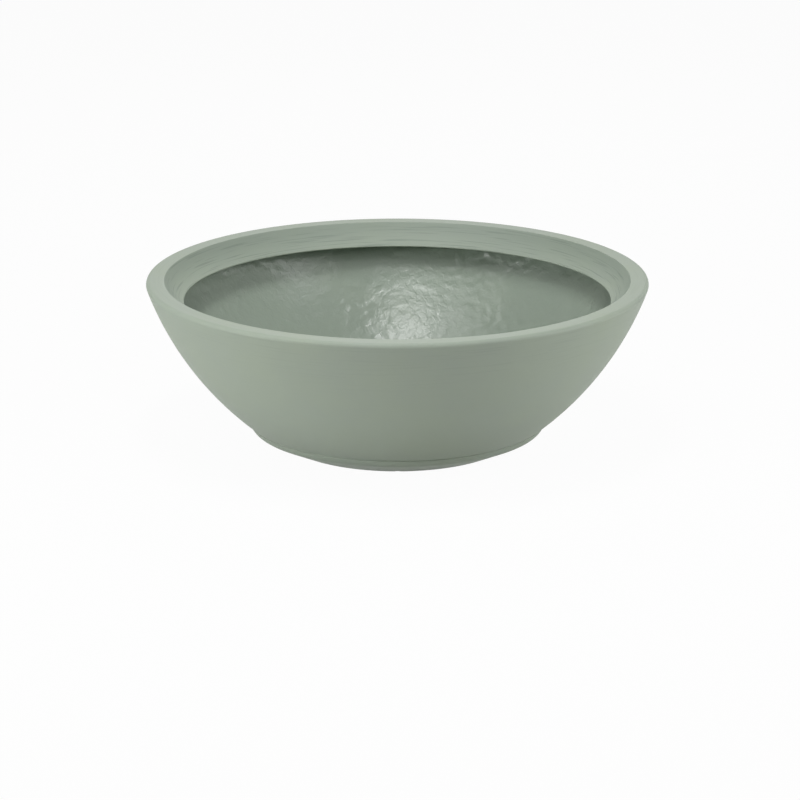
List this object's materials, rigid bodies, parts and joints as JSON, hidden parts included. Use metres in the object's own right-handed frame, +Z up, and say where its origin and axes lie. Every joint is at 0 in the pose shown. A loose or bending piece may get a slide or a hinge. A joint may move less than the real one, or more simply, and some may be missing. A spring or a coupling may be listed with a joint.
{
  "type": "low bowl planter",
  "caption": "Wide, low round plastic planter bowl with a flat rim, an inward collar, a small stepped foot and push-in rubber drain plugs.",
  "frame": {"origin": "on the surface the bowl stands on, under the middle of the bowl", "axes": "+Z up along the bowl's axis, -Y towards the front of the picture, +X to its right"},
  "size_m": [0.6002, 0.6002, 0.2015],
  "materials": {
    "moulded_polyethylene": "matte",
    "plug_rubber": "matte"
  },
  "bodies": {
    "bowl": {"bowl_shell": "moulded_polyethylene"},
    "centre_plug": {"drain_plug_centre": "plug_rubber"},
    "right_plug": {"drain_plug_right": "plug_rubber"},
    "back_plug": {"drain_plug_back": "plug_rubber"},
    "left_plug": {"drain_plug_left": "plug_rubber"},
    "front_plug": {"drain_plug_front": "plug_rubber"}
  },
  "joints": [
    {"name": "centre_plug_pull", "type": "slide", "parent": "bowl", "child": "centre_plug", "axis": [0, 0, 1], "range_m": [0, 0.25]},
    {"name": "right_plug_pull", "type": "slide", "parent": "bowl", "child": "right_plug", "axis": [0, 0, 1], "range_m": [0, 0.25]},
    {"name": "back_plug_pull", "type": "slide", "parent": "bowl", "child": "back_plug", "axis": [0, 0, 1], "range_m": [0, 0.25]},
    {"name": "left_plug_pull", "type": "slide", "parent": "bowl", "child": "left_plug", "axis": [0, 0, 1], "range_m": [0, 0.25]},
    {"name": "front_plug_pull", "type": "slide", "parent": "bowl", "child": "front_plug", "axis": [0, 0, 1], "range_m": [0, 0.25]}
  ]
}
